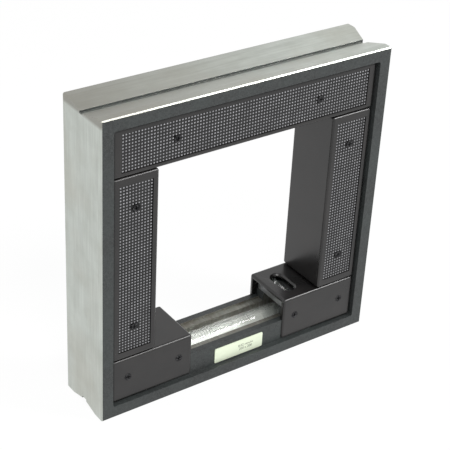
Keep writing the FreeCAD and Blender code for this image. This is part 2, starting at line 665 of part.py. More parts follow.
# ---------------------------------------------------------------- name plate

def make_name_plate():
    body = new_body("name_plate")
    outline = new_sketch(body, "XZ_Plane", BAR_FACE)
    left = "(Dims.plate_centre_x - Dims.plate_width / 2)"
    right = "(Dims.plate_centre_x + Dims.plate_width / 2)"
    bottom = "(Dims.plate_centre_z - Dims.plate_height / 2)"
    top = "(Dims.plate_centre_z + Dims.plate_height / 2)"
    add_rectangle(outline, left, right, bottom, top)
    pad(body, outline, "Dims.plate_thickness", "One side")
    fillet(body, "Dims.plate_corner", lambda edge: runs_along(edge, "y"))
    return finish(body, "name_plate")


# ---------------------------------------------------------------- main vial and its carrier

def add_vial_profile(sketch, half_length, radius, bore, rise, end_wall, end_radius):
    """Half section of a sealed glass tube whose bore is ground to a slight barrel shape."""
    bore_end = f"({half_length} - {end_wall})"
    low = f"({bore} - {rise})"
    corner = f"({half_length} - {end_radius})"
    shoulder = f"({radius} - {end_radius})"
    corners = [(f"-{half_length}", "0"), (f"-{half_length}", shoulder), (f"-{corner}", radius),
               (corner, radius), (half_length, shoulder), (half_length, "0"), (bore_end, "0"), (bore_end, low),
               (f"-{bore_end}", low), (f"-{bore_end}", "0")]
    spots = [Vector(num(across), num(up), 0) for across, up in corners]
    count = len(spots)
    bore_side = 7
    for index, spot in enumerate(spots):
        following = spots[(index + 1) % count]
        if index == bore_side:
            crown = Vector(0, num(bore), 0)
            sketch.addGeometry(Part.Arc(spot, crown, following).copy())
        else:
            sketch.addGeometry(Part.LineSegment(spot, following))
    # An arc runs counter-clockwise, from the end at +X to the end at -X.
    for index in range(count):
        sketch.addConstraint(Sketcher.Constraint("Coincident", index, 2, (index + 1) % count, 1))
    for index, (across, up) in enumerate(corners):
        tie_point(sketch, index, 1, across, up)
    barrel = f"(({bore_end} * {bore_end} + {rise} * {rise}) / (2 * {rise}))"
    index = sketch.addConstraint(Sketcher.Constraint("Radius", bore_side, num(barrel)))
    sketch.setExpression(f"Constraints[{index}]", barrel)


def make_vial(label, sizes, spot, turn):
    body = new_body(label)
    sketch = new_sketch(body, "XZ_Plane")
    add_vial_profile(sketch, *sizes)
    revolve(body, sketch, "H_Axis")
    return place_item(body, label, spot, turn)


def make_bubble(label, half_length, radius, spot, turn):
    """Round-ended bubble, revolved about X before it is turned."""
    body = new_body(label)
    sketch = new_sketch(body, "XZ_Plane")
    length, r = num(half_length), num(radius)
    tip_left, tip_right = Vector(-length, 0, 0), Vector(length, 0, 0)
    left, right = Vector(r - length, 0, 0), Vector(length - r, 0, 0)
    up = Vector(0, r, 0)
    lean = Vector(r * math.cos(math.pi / 4), r * math.sin(math.pi / 4), 0)
    mirrored = Vector(-lean.x, lean.y, 0)
    sketch.addGeometry(Part.Arc(tip_right, right + lean, right + up))
    sketch.addGeometry(Part.LineSegment(right + up, left + up))
    sketch.addGeometry(Part.Arc(left + up, left + mirrored, tip_left))
    sketch.addGeometry(Part.LineSegment(tip_left, tip_right))
    for one, other in ((0, 1), (1, 2)):
        sketch.addConstraint(Sketcher.Constraint("Tangent", one, 2, other, 1))
    for one, other in ((2, 3), (3, 0)):
        sketch.addConstraint(Sketcher.Constraint("Coincident", one, 2, other, 1))
    tie_point(sketch, 3, 1, f"-({half_length})", "0")
    tie_point(sketch, 3, 2, half_length, "0")
    tie_point(sketch, 0, 3, f"({half_length} - {radius})", "0")
    tie_point(sketch, 2, 3, f"({radius} - {half_length})", "0")
    revolve(body, sketch, "H_Axis")
    return place_item(body, label, spot, turn)


def make_half_ring(label, start, end):
    """Lower half of a thin ring round the vial, between two stations along it."""
    outer = doc.addObject("Part::Cylinder", label + "_outer")
    outer.setExpression("Radius", f"({BED_OUTSIDE} - Dims.bed_gap)")
    inner = doc.addObject("Part::Cylinder", label + "_inner")
    inner.setExpression("Radius", "(Dims.vial_radius + Dims.bed_gap)")
    outer.Angle = 180
    for item in (outer, inner):
        item.setExpression("Height", f"({end} - ({start}))")
        item.Placement = Placement(Vector(0, 0, 0), Rotation(Vector(0, 0, 1), Vector(1, 0, 0)))
        item.setExpression(".Placement.Base.x", start)
        item.setExpression(".Placement.Base.z", "Dims.vial_axis_height")
    half = Rotation(Vector(0, 1, 0), 90).multiply(Rotation(Vector(0, 0, 1), -90))
    outer.Placement = Placement(outer.Placement.Base, half)
    ring = doc.addObject("Part::Cut", label)
    ring.Base = outer
    ring.Tool = inner
    return finish(ring, label)


def make_vial_carrier():
    body = new_body("vial_carrier")
    block = new_sketch(body, "XZ_Plane")
    add_rectangle(block, f"-{CARRIER_HALF}", CARRIER_HALF,
                  CARRIER_BOTTOM, "Dims.vial_axis_height")
    pad(body, block, "2 * Dims.carrier_half_width")
    cradle = new_sketch(body, "YZ_Plane")
    add_circle(cradle, "0", "Dims.vial_axis_height", BED_OUTSIDE)
    pocket(body, cradle, f"2 * ({VIAL_HALF} + Dims.packing_end_gap)")
    pivot = new_sketch(body, "XZ_Plane")
    add_circle(pivot, PIVOT_X, CARRIER_MIDDLE, "(Dims.pivot_radius + Dims.pivot_fit)")
    pocket(body, pivot)
    tapped = new_sketch(body, "XY_Plane")
    add_circle(tapped, ADJUSTER_X, "0", "(Dims.adjuster_radius + Dims.adjuster_fit)")
    pocket(body, tapped)
    return finish(body, "vial_carrier")


def make_main_vial():
    make_vial_carrier()
    bed = BED_HALF
    far = f"({VIAL_HALF} - Dims.packing_end_gap)"
    seam = f"({bed} + Dims.packing_seam)"
    make_half_ring("vial_bed", f"-{bed}", bed)
    make_half_ring("left_vial_packing", f"-{far}", f"-{seam}")
    make_half_ring("right_vial_packing", seam, far)
    sizes = (VIAL_HALF, "Dims.vial_radius", "Dims.vial_bore_radius",
             "Dims.vial_barrel_rise", "Dims.vial_end_wall", "Dims.vial_end_radius")
    make_vial("main_vial_glass", sizes, ("0", "0", "Dims.vial_axis_height"), Rotation())
    height = "(Dims.vial_axis_height + Dims.vial_bore_radius - Dims.bubble_gap - Dims.main_bubble_radius)"
    make_bubble("main_bubble", "Dims.main_bubble_half_length", "Dims.main_bubble_radius",
                ("0", "0", height), Rotation())


def make_pivot_pin():
    pin = doc.addObject("Part::Cylinder", "pivot_pin")
    pin.setExpression("Radius", "Dims.pivot_radius")
    pin.setExpression("Height", f"2 * ({WEB_FACE} - Dims.pivot_end_gap)")
    pin.Placement = Placement(Vector(0, 0, 0), Rotation(Vector(0, 0, 1), Vector(0, 1, 0)))
    pin.setExpression(".Placement.Base.x", PIVOT_X)
    pin.setExpression(".Placement.Base.y", f"-({WEB_FACE} - Dims.pivot_end_gap)")
    pin.setExpression(".Placement.Base.z", CARRIER_MIDDLE)
    return finish(pin, "pivot_pin")


# ---------------------------------------------------------------- adjustment under the left cap

def bridge_screw_spots():
    return [(ADJUSTER_X, f"-{BRIDGE_SCREW_Y}"), (ADJUSTER_X, BRIDGE_SCREW_Y)]


def make_adjusting_bridge():
    body = new_body("adjusting_bridge")
    plate = new_sketch(body, "XY_Plane", "Dims.cheek_top")
    add_rectangle(plate, f"({ADJUSTER_X} - Dims.bridge_half_length)", f"({ADJUSTER_X} + Dims.bridge_half_length)",
                  f"-{BRIDGE_HALF}", BRIDGE_HALF)
    pad(body, plate, "Dims.bridge_thickness", "One side")
    hole = new_sketch(body, "XY_Plane")
    add_circle(hole, ADJUSTER_X, "0", "(Dims.adjuster_radius + Dims.adjuster_fit)")
    pocket(body, hole)
    countersink(body, "small_screw", "XY_Plane", BRIDGE_TOP, bridge_screw_spots(), False)
    return finish(body, "adjusting_bridge")


def make_adjusting_screw():
    body = new_body("adjusting_screw")
    sketch = new_sketch(body, "XZ_Plane")
    seat = f"({BRIDGE_TOP} + Dims.adjuster_end_play)"
    top = f"({seat} + Dims.adjuster_head_height)"
    tip = f"({CARRIER_BOTTOM} + Dims.adjuster_tip_lift)"
    add_polygon(sketch, [("0", tip), ("Dims.adjuster_radius", tip), ("Dims.adjuster_radius", seat),
                         ("Dims.adjuster_head_radius", seat), ("Dims.adjuster_head_radius", top), ("0", top)])
    revolve(body, sketch, "V_Axis")
    slot = new_sketch(body, "XY_Plane", top)
    reach = "(Dims.adjuster_head_radius + Dims.cut_over)"
    add_rectangle(slot, f"-{reach}", reach, "-Dims.adjuster_slot_width / 2", "Dims.adjuster_slot_width / 2")
    pocket(body, slot, "Dims.adjuster_slot_depth", "One side")
    body.setExpression(".Placement.Base.x", ADJUSTER_X)
    return finish(body, "adjusting_screw")


def make_retaining_ring():
    outer = doc.addObject("Part::Cylinder", "retaining_ring_outer")
    inner = doc.addObject("Part::Cylinder", "retaining_ring_inner")
    outer.setExpression("Radius", "Dims.ring_radius")
    inner.setExpression("Radius", "Dims.adjuster_radius")
    for item in (outer, inner):
        item.setExpression("Height", "Dims.ring_thickness")
        item.setExpression(".Placement.Base.x", ADJUSTER_X)
        item.setExpression(".Placement.Base.z",
                           "(Dims.cheek_top - Dims.adjuster_end_play - Dims.ring_thickness)")
    ring = doc.addObject("Part::Cut", "retaining_ring")
    ring.Base = outer
    ring.Tool = inner
    return finish(ring, "retaining_ring")


def make_adjustment():
    make_adjusting_bridge()
    make_adjusting_screw()
    make_retaining_ring()
    for name, (across, up) in zip(("front", "back"), bridge_screw_spots()):
        make_screw(f"bridge_screw_{name}", "small_screw", (across, up, BRIDGE_TOP), Rotation())


# ---------------------------------------------------------------- cross vial under the right cap

def saddle_screw_spots():
    across = f"({CROSS_X} + Dims.saddle_screw_offset)"
    return [(across, f"-{BRIDGE_SCREW_Y}"), (across, BRIDGE_SCREW_Y)]


def make_cross_saddle():
    body = new_body("cross_vial_saddle")
    block = new_sketch(body, "XY_Plane", "Dims.cheek_top")
    add_rectangle(block, f"({CROSS_X} - Dims.saddle_half_length)", f"({CROSS_X} + Dims.saddle_half_length)",
                  f"-{BRIDGE_HALF}", BRIDGE_HALF)
    pad(body, block, "Dims.saddle_height", "One side")
    cradle = new_sketch(body, "XZ_Plane")
    add_circle(cradle, CROSS_X, CROSS_AXIS_HEIGHT, "(Dims.cross_radius + Dims.cross_fit)")
    pocket(body, cradle, f"2 * ({CROSS_HALF} + Dims.cross_end_gap)")
    countersink(body, "small_screw", "XY_Plane", SADDLE_TOP, saddle_screw_spots(), False)
    return finish(body, "cross_vial_saddle")


def make_cross_vial():
    make_cross_saddle()
    for name, (across, up) in zip(("front", "back"), saddle_screw_spots()):
        make_screw(f"saddle_screw_{name}", "small_screw", (across, up, SADDLE_TOP), Rotation())
    along_y = Rotation(Vector(0, 0, 1), 90)
    sizes = (CROSS_HALF, "Dims.cross_radius", "Dims.cross_bore_radius",
             "Dims.cross_barrel_rise", "Dims.cross_end_wall", "Dims.cross_end_radius")
    make_vial("cross_vial_glass", sizes, (CROSS_X, "0", CROSS_AXIS_HEIGHT), along_y)
    height = f"({CROSS_AXIS_HEIGHT} + Dims.cross_bore_radius - Dims.bubble_gap - Dims.cross_bubble_radius)"
    make_bubble("cross_bubble", "Dims.cross_bubble_half_length", "Dims.cross_bubble_radius",
                (CROSS_X, "0", height), along_y)


# ---------------------------------------------------------------- build, check and write

def check_document():
    """Stop when an object of the document failed or a sub-part's shape isn't sound."""
    doc.recompute()
    for item in doc.Objects:
        broken = [state for state in item.State if state in BAD_STATES]
        if broken:
            raise RuntimeError(f"{item.Label} is {broken}")
    for item in FINISHED:
        if item.Shape.isNull() or not item.Shape.isValid():
            raise RuntimeError(f"{item.Label} has no valid shape")


def write_parts():
    os.makedirs(OUT_DIR, exist_ok=True)
    for item in FINISHED:
        item.Shape.exportStep(f"{OUT_DIR}/{item.Label}.step")


make_frame_casting()
make_top_grip()
make_side_grip("left_grip", -1)
make_side_grip("right_grip", 1)
make_end_cap("left_end_cap", -1, has_slot=False)
make_end_cap("right_end_cap", 1, has_slot=True)
make_cover_screws()
make_name_plate()
make_main_vial()
make_pivot_pin()
make_adjustment()
make_cross_vial()
check_document()
write_parts()
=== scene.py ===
"""Looks of a square frame level: ground cast iron, crackle enamel, knurled grips, clear vials."""

import json
import math

import bmesh
import bpy
from mathutils import Matrix, Vector

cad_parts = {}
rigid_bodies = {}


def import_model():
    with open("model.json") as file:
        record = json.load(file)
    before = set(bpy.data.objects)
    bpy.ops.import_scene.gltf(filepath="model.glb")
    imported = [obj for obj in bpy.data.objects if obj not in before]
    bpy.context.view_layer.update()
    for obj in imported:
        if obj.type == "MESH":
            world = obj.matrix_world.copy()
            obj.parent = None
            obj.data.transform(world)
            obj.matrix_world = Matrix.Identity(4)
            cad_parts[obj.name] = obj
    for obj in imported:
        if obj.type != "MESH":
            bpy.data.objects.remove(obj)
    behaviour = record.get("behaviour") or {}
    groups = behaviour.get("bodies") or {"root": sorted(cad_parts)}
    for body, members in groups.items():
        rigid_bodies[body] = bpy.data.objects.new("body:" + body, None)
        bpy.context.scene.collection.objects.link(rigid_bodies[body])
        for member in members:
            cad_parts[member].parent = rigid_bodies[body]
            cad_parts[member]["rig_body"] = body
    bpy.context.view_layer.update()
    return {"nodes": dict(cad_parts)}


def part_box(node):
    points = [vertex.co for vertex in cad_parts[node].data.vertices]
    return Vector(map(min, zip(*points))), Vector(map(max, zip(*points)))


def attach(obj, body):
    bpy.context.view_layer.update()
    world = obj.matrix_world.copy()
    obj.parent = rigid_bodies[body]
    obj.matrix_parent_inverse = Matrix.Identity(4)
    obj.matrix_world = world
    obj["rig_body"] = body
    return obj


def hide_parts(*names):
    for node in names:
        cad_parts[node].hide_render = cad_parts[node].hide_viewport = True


bl_info = {
    "name": "Frame level",
    "version": (1, 0, 0),
    "blender": (4, 5, 0),
    "location": "3D View > Sidebar > Frame level",
    "description": "Builds the finish and the fine parts of a square frame spirit level",
    "category": "Object",
}

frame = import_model()
MM = 0.001

# Camera: where it stands, what it looks at, its roll and its lens.
CAMERA_SPOT = Vector((-0.4145, -0.5596, 0.5159))
CAMERA_AIM = Vector((-0.0020, -0.0009, 0.0971))
CAMERA_ROLL = math.radians(3.08)
CAMERA_LENS = 107.07
SENSOR = 36.0

MERGE = 0.001 * MM
FLAT = math.radians(0.5)
SMOOTH_ANGLE = math.radians(32)
LARGE_FACES_FIRST = 100    # weight that large faces get in the shading of their edges


def linear(code):
    """Linear colour of an sRGB hex code."""
    parts = [int(code[i:i + 2], 16) / 255 for i in (0, 2, 4)]
    return tuple(c / 12.92 if c <= 0.04045 else ((c + 0.055) / 1.055) ** 2.4 for c in parts)


# ---------------------------------------------------------------- what a user may change

class LevelSizes(bpy.types.PropertyGroup):
    edge_break: bpy.props.FloatProperty(
        name="Edge break", description="Width of the broken edges of the painted casting",
        default=0.35 * MM, min=0.0, unit="LENGTH")
    knurl_pitch: bpy.props.FloatProperty(
        name="Knurl pitch", description="Distance between the pyramids of the grips",
        default=2.0 * MM, min=1.0 * MM, unit="LENGTH")
    knurl_depth: bpy.props.FloatProperty(
        name="Knurl depth", description="Valleys of the knurl below the grip's face",
        default=0.8 * MM, min=0.1 * MM, unit="LENGTH")
    tip_drop: bpy.props.FloatProperty(
        name="Tip drop", description="Tips of the knurl below the grip's face",
        default=0.05 * MM, min=0.0, unit="LENGTH")
    line_width: bpy.props.FloatProperty(
        name="Graduation width", description="Width of a graduation line on a vial",
        default=0.2 * MM, min=0.05 * MM, unit="LENGTH")
    line_step: bpy.props.FloatProperty(
        name="Graduation step", description="Distance between graduation lines on the main vial",
        default=2.0 * MM, min=0.5 * MM, unit="LENGTH")
    letter_height: bpy.props.FloatProperty(
        name="Letter height", description="Height of the marking on the plate",
        default=2.5 * MM, min=0.5 * MM, unit="LENGTH")
    marking: bpy.props.StringProperty(
        name="Marking", description="What the plate says: the vial's sensitivity and the frame's size",
        default="0.02 mm/m\n200 x 200")


class LevelColours(bpy.types.PropertyGroup):
    ground: bpy.props.FloatVectorProperty(
        name="Ground iron", description="Ground measuring faces", subtype="COLOR",
        default=linear("C2C7C1"))
    enamel: bpy.props.FloatVectorProperty(
        name="Enamel", description="Crackle enamel of the casting", subtype="COLOR",
        default=linear("2F3131"))
    plastic: bpy.props.FloatVectorProperty(
        name="Grip plastic", description="Moulded covers", subtype="COLOR", default=linear("111010"))
    # Painted highlight: the pale colour painted on the knurl's tips stands in for light glinting off
    # them.
    tips: bpy.props.FloatVectorProperty(
        name="Knurl tips", description="Rubbed tips of the knurl", subtype="COLOR",
        default=linear("C4C4C8"))
    plate: bpy.props.FloatVectorProperty(
        name="Plate", description="Printed plate's ground", subtype="COLOR", default=linear("DDE6CE"))
    print_ink: bpy.props.FloatVectorProperty(
        name="Ink", description="Marking and graduation lines", subtype="COLOR",
        default=linear("1E2220"))
    bed: bpy.props.FloatVectorProperty(
        name="Vial bed", description="White bed under the main vial", subtype="COLOR",
        default=linear("F4F4F0"))


SIZE_NAMES = ("edge_break", "knurl_pitch", "knurl_depth", "tip_drop", "line_width", "line_step",
              "letter_height", "marking")
COLOUR_NAMES = ("ground", "enamel", "plastic", "tips", "plate", "print_ink", "bed")


def sizes():
    return bpy.context.scene.level_sizes


def colours():
    return bpy.context.scene.level_colours


# ---------------------------------------------------------------- node helper

def add_node(tree, kind, settings=None, inputs=None):
    """Add a node, set its properties, and set or link its inputs."""
    node = tree.nodes.new(kind)
    for name, value in (settings or {}).items():
        setattr(node, name, value)
    for name, value in (inputs or {}).items():
        if isinstance(value, bpy.types.NodeSocket):
            tree.links.new(value, node.inputs[name])
        else:
            node.inputs[name].default_value = value
    return node


def per_metre(feature_mm):
    """Texture scale that gives features of a real size in millimetres."""
    return 1.0 / (feature_mm * MM)


def rgba(colour):
    return (*tuple(colour), 1.0)


def start_material(name):
    """A new node material, its tree and the Object coordinates."""
    material = bpy.data.materials.new(name)
    material.use_nodes = True
    tree = material.node_tree
    tree.nodes.clear()
    place = add_node(tree, "ShaderNodeTexCoord").outputs["Object"]
    return material, tree, place


def close_material(tree, surface):
    add_node(tree, "ShaderNodeOutputMaterial", {}, {"Surface": surface.outputs[0]})


def see_through(tree, surface, clear_share):
    """Let a share of the view pass a clear material unbent."""
    open_air = add_node(tree, "ShaderNodeBsdfTransparent")
    return add_node(tree, "ShaderNodeMixShader", {}, {0: clear_share, 1: surface.outputs[0],
                                                     2: open_air.outputs[0]})


def noise(tree, place, feature_mm, detail=3.0, rough=0.5, distortion=0.0):
    settings = {"Vector": place, "Scale": per_metre(feature_mm), "Detail": detail,
                "Roughness": rough, "Distortion": distortion}
    return add_node(tree, "ShaderNodeTexNoise", {"noise_dimensions": "3D"}, settings).outputs["Fac"]


def remap(tree, value, low, high, to_low=0.0, to_high=1.0):
    inputs = {"Value": value, "From Min": low, "From Max": high, "To Min": to_low, "To Max": to_high}
    return add_node(tree, "ShaderNodeMapRange", {}, inputs).outputs["Result"]


def mix_colour(tree, factor, one, other):
    """Blend of two colours; node sockets 6 and 7 are its colour inputs, output 2 its colour."""
    node = add_node(tree, "ShaderNodeMix", {"data_type": "RGBA"}, {0: factor, 6: one, 7: other})
    return node.outputs[2]


def bump(tree, height, depth_mm, strength=1.0, under=None):
    inputs = {"Height": height, "Distance": depth_mm * MM, "Strength": strength}
    if under is not None:
        inputs["Normal"] = under
    return add_node(tree, "ShaderNodeBump", {}, inputs).outputs["Normal"]


def shade(colour, share):
    """A colour made darker or lighter by a share."""
    return rgba([c * share for c in colour])


def kept(maker):
    """Make each material once."""
    def once():
        found = bpy.data.materials.get(maker.__name__)
        return found or maker()
    return once


# ---------------------------------------------------------------- materials

# Painted reflection: the top face's left is painted darker and warmer, standing in for a dark, warm
# surrounding mirrored in the ground iron.
TOP_FACE = (194.5 * MM, 196.5 * MM)     # heights over which the painted reflection on the top face sets in
PAINTED_REFLECTION_SPAN = (60.0 * MM, -90.0 * MM)  # leftwards along this stretch the painted reflection grows to its share
PAINTED_REFLECTION_SHARE = 0.75


@kept
def ground_cast_iron():
    """Cast iron, surface ground: a pale satin grey with soft grinding streaks along each face,
    slightly mottled where the graphite shows, and a painted reflection: a darker, warm tone
    painted on the top face's left, standing in for a dark, warm surrounding mirrored there."""
    material, tree, place = start_material("ground_cast_iron")
    base = colours().ground
    along = add_node(tree, "ShaderNodeMapping", {}, {"Vector": place, "Scale": (0.04, 1.0, 0.04)})
    streak = noise(tree, along.outputs["Vector"], 1.1, 4.0, 0.6)
    mottle = noise(tree, place, 14.0, 4.0, 0.6)
    warm = noise(tree, place, 38.0, 2.0, 0.5)
    tone = mix_colour(tree, remap(tree, streak, 0.3, 0.7), shade(base, 0.84), shade(base, 1.06))
    dull = mix_colour(tree, remap(tree, mottle, 0.4, 0.8, 0.0, 0.35), tone, rgba(linear("969A90")))
    warmer = mix_colour(tree, remap(tree, warm, 0.45, 0.7, 0.0, 0.3), dull, rgba(linear("A7A295")))
    spot = add_node(tree, "ShaderNodeSeparateXYZ", {}, {"Vector": place})
    on_top = remap(tree, spot.outputs["Z"], *TOP_FACE)
    leftwards = remap(tree, spot.outputs["X"], *PAINTED_REFLECTION_SPAN, 0.0, PAINTED_REFLECTION_SHARE)
    painted_reflection = add_node(tree, "ShaderNodeMath", {"operation": "MULTIPLY"}, {0: on_top, 1: leftwards})
    # painted reflection: the top face's left is painted darker and warmer
    colour = mix_colour(tree, painted_reflection.outputs[0], warmer, rgba(linear("85827A")))
    gloss = remap(tree, streak, 0.2, 0.8, 0.30, 0.46)
    surface = add_node(tree, "ShaderNodeBsdfPrincipled", {}, {
        "Base Color": colour, "Metallic": 1.0, "Roughness": gloss,
        "Normal": bump(tree, streak, 0.01, 0.6)})
    close_material(tree, surface)
    return material


@kept
def milled_cast_iron():
    """Cast iron, milled and left bare under the vial: duller, greenish brown grey, with the
    cutter's fine marks across it."""
    material, tree, place = start_material("milled_cast_iron")
    across = add_node(tree, "ShaderNodeMapping", {}, {"Vector": place, "Scale": (1.0, 0.08, 0.2)})
    marks = noise(tree, across.outputs["Vector"], 0.9, 3.0, 0.55)
    stain = noise(tree, place, 7.0, 4.0, 0.6)
    tone = mix_colour(tree, remap(tree, marks, 0.3, 0.7), rgba(linear("6A6A62")),
                      rgba(linear("8F908A")))
    colour = mix_colour(tree, remap(tree, stain, 0.4, 0.7, 0.0, 0.6), tone, rgba(linear("5F564C")))
    surface = add_node(tree, "ShaderNodeBsdfPrincipled", {}, {
        "Base Color": colour, "Metallic": 0.75, "Roughness": remap(tree, marks, 0.2, 0.8, 0.42, 0.6),
        "Normal": bump(tree, marks, 0.015, 0.5)})
    close_material(tree, surface)
    return material


@kept
def crackle_enamel():
    """Stoved crackle enamel on the raw casting: a black-grey skin with a fine wrinkled grain
    about 1 mm across, whose ridges are painted lighter as highlight and whose hollows are painted dark
    as shade."""
    material, tree, place = start_material("crackle_enamel")
    base = colours().enamel
    grain = noise(tree, place, 1.3, 3.0, 0.6, 1.2)
    fine = noise(tree, place, 0.6, 2.0, 0.5)
    tint = noise(tree, place, 22.0, 3.0, 0.55)
    # painted light: the grain's ridges are painted lighter as highlight and its hollows darker as
    # shade, following the noise of the wrinkles' bump
    tone = mix_colour(tree, remap(tree, grain, 0.34, 0.66), shade(base, 0.55), shade(base, 1.45))
    colour = mix_colour(tree, remap(tree, tint, 0.35, 0.65, 0.0, 0.5), tone, rgba(linear("363C3B")))
    wrinkles = bump(tree, grain, 0.12, 0.55)
    surface = add_node(tree, "ShaderNodeBsdfPrincipled", {}, {
        "Base Color": colour, "IOR": 1.5, "Specular IOR Level": 0.35,
        "Roughness": remap(tree, grain, 0.3, 0.7, 0.52, 0.36),
        "Normal": bump(tree, fine, 0.04, 0.5, wrinkles)})
    close_material(tree, surface)
    return material


@kept
def moulded_abs():
    """Black ABS from a spark-eroded mould: an even satin skin with a very fine grain, drawn at
    0.5 mm so that it shows, and faintly cloudy where it has been handled."""
    material, tree, place = start_material("moulded_abs")
    base = colours().plastic
    grain = noise(tree, place, 0.5, 2.0, 0.5)
    cloud = noise(tree, place, 26.0, 3.0, 0.5)
    tone = mix_colour(tree, remap(tree, grain, 0.3, 0.7), shade(base, 0.8), shade(base, 1.25))
    colour = mix_colour(tree, remap(tree, cloud, 0.4, 0.7, 0.0, 0.4), tone, rgba(linear("2A2726")))
    surface = add_node(tree, "ShaderNodeBsdfPrincipled", {}, {
        "Base Color": colour, "IOR": 1.53,
        "Roughness": remap(tree, cloud, 0.3, 0.7, 0.26, 0.34),
        "Normal": bump(tree, grain, 0.02, 0.4)})
    close_material(tree, surface)
    return material


@kept
def knurled_abs():
    """The same ABS on the knurl, with its light and shade painted by height: its tips are painted
    pale as a highlight and made glossier, and its valleys are painted black as shade."""
    material, tree, place = start_material("knurled_abs")
    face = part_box("top_grip")[1].y
    depth = sizes().knurl_depth
    split = add_node(tree, "ShaderNodeSeparateXYZ", {}, {"Vector": place})
    out = add_node(tree, "ShaderNodeMath", {"operation": "ABSOLUTE"}, {0: split.outputs["Y"]})
    height = remap(tree, out.outputs[0], face - depth, face - sizes().tip_drop)
    # painted highlight: the tips' pale colour varies at random from tip to tip
    highlight_patches = noise(tree, place, 9.0, 3.0, 0.6)
    tip_highlight = mix_colour(tree, remap(tree, highlight_patches, 0.3, 0.7, 0.25, 0.95),
                        shade(colours().tips, 0.35), rgba(colours().tips))
    # painted light: the valleys are painted near black as shade, the tips pale as a highlight
    colour = mix_colour(tree, remap(tree, height, 0.45, 1.0), rgba(linear("0B0B0C")), tip_highlight)
    surface = add_node(tree, "ShaderNodeBsdfPrincipled", {}, {
        "Base Color": colour, "IOR": 1.53, "Roughness": remap(tree, height, 0.2, 0.9, 0.55, 0.28)})
    close_material(tree, surface)
    return material


@kept
def blackened_steel():
    """Cold-formed steel screws, blackened: a dark oily grey, lighter where the driver has rubbed."""
    material, tree, place = start_material("blackened_steel")
    worn = noise(tree, place, 0.9, 3.0, 0.6)
    colour = mix_colour(tree, remap(tree, worn, 0.45, 0.75), rgba(linear("232325")),
                        rgba(linear("5B5B5C")))
    surface = add_node(tree, "ShaderNodeBsdfPrincipled", {}, {
        "Base Color": colour, "Metallic": 0.9, "Roughness": remap(tree, worn, 0.3, 0.7, 0.4, 0.28)})
    close_material(tree, surface)
    return material


@kept
def bright_steel():
    """Turned and reamed steel: pale, with fine rings from the lathe."""
    material, tree, place = start_material("bright_steel")
    rings = noise(tree, place, 0.4, 2.0, 0.5)
    colour = mix_colour(tree, rings, rgba(linear("8D8F90")), rgba(linear("C9CBCB")))
    surface = add_node(tree, "ShaderNodeBsdfPrincipled", {}, {
        "Base Color": colour, "Metallic": 1.0, "Roughness": remap(tree, rings, 0.3, 0.7, 0.22, 0.36),
        "Normal": bump(tree, rings, 0.005, 0.4)})
    close_material(tree, surface)
    return material


@kept
def turned_brass():
    """Turned brass, gone a little brown: warm and satin."""
    material, tree, place = start_material("turned_brass")
    tarnish = noise(tree, place, 2.0, 3.0, 0.6)
    colour = mix_colour(tree, tarnish, rgba(linear("8A6A35")), rgba(linear("D3B266")))
    surface = add_node(tree, "ShaderNodeBsdfPrincipled", {}, {
        "Base Color": colour, "Metallic": 1.0, "Roughness": remap(tree, tarnish, 0.3, 0.7, 0.42, 0.25)})
    close_material(tree, surface)
    return material


@kept
def diecast_aluminium():
    """Die-cast aluminium of the vial's carrier: dull grey with a slightly cloudy skin."""
    material, tree, place = start_material("diecast_aluminium")
    skin = noise(tree, place, 3.0, 4.0, 0.6)
    colour = mix_colour(tree, skin, rgba(linear("77797A")), rgba(linear("A6A8A8")))
    surface = add_node(tree, "ShaderNodeBsdfPrincipled", {}, {
        "Base Color": colour, "Metallic": 0.9, "Roughness": remap(tree, skin, 0.3, 0.7, 0.48, 0.36),
        "Normal": bump(tree, skin, 0.02, 0.4)})
    close_material(tree, surface)
    return material


@kept
def white_bed_enamel():
    """White enamel baked on the bed under the main vial: it makes the bubble easy to read."""
    material, tree, place = start_material("white_bed_enamel")
    cloud = noise(tree, place, 4.0, 2.0, 0.5)
    colour = mix_colour(tree, cloud, rgba(colours().bed), shade(colours().bed, 0.92))
    surface = add_node(tree, "ShaderNodeBsdfPrincipled", {}, {
        "Base Color": colour, "Roughness": 0.35, "Normal": bump(tree, cloud, 0.01, 0.3)})
    close_material(tree, surface)
    return material


@kept
def vial_packing_rubber():
    """Grey vulcanised packing that holds the vial's ends."""
    material, tree, place = start_material("vial_packing_rubber")
    dust = noise(tree, place, 0.7, 3.0, 0.6)
    colour = mix_colour(tree, dust, rgba(linear("B0B2B0")), rgba(linear("D5D6D2")))
    surface = add_node(tree, "ShaderNodeBsdfPrincipled", {}, {
        "Base Color": colour, "Roughness": 0.65, "Normal": bump(tree, dust, 0.02, 0.5)})
    close_material(tree, surface)
    return material


GLASS_CLEAR = 0.7       # share of the view that passes each clear material unbent
SPIRIT_CLEAR = 0.85
BUBBLE_CLEAR = 0.4


@kept
def ground_vial_glass():
    """Borosilicate glass, ground inside and polished outside: clear, with a faint grey-green
    edge. Most of the view passes unbent, so that the white bed shows bright through it."""
    material, tree, place = start_material("ground_vial_glass")
    draw = noise(tree, place, 5.0, 2.0, 0.5)
    surface = add_node(tree, "ShaderNodeBsdfPrincipled", {}, {
        "Base Color": rgba(linear("F2F8F5")), "Transmission Weight": 1.0, "IOR": 1.47,
        "Roughness": remap(tree, draw, 0.2, 0.8, 0.0, 0.04)})
    close_material(tree, see_through(tree, surface, GLASS_CLEAR))
    return material


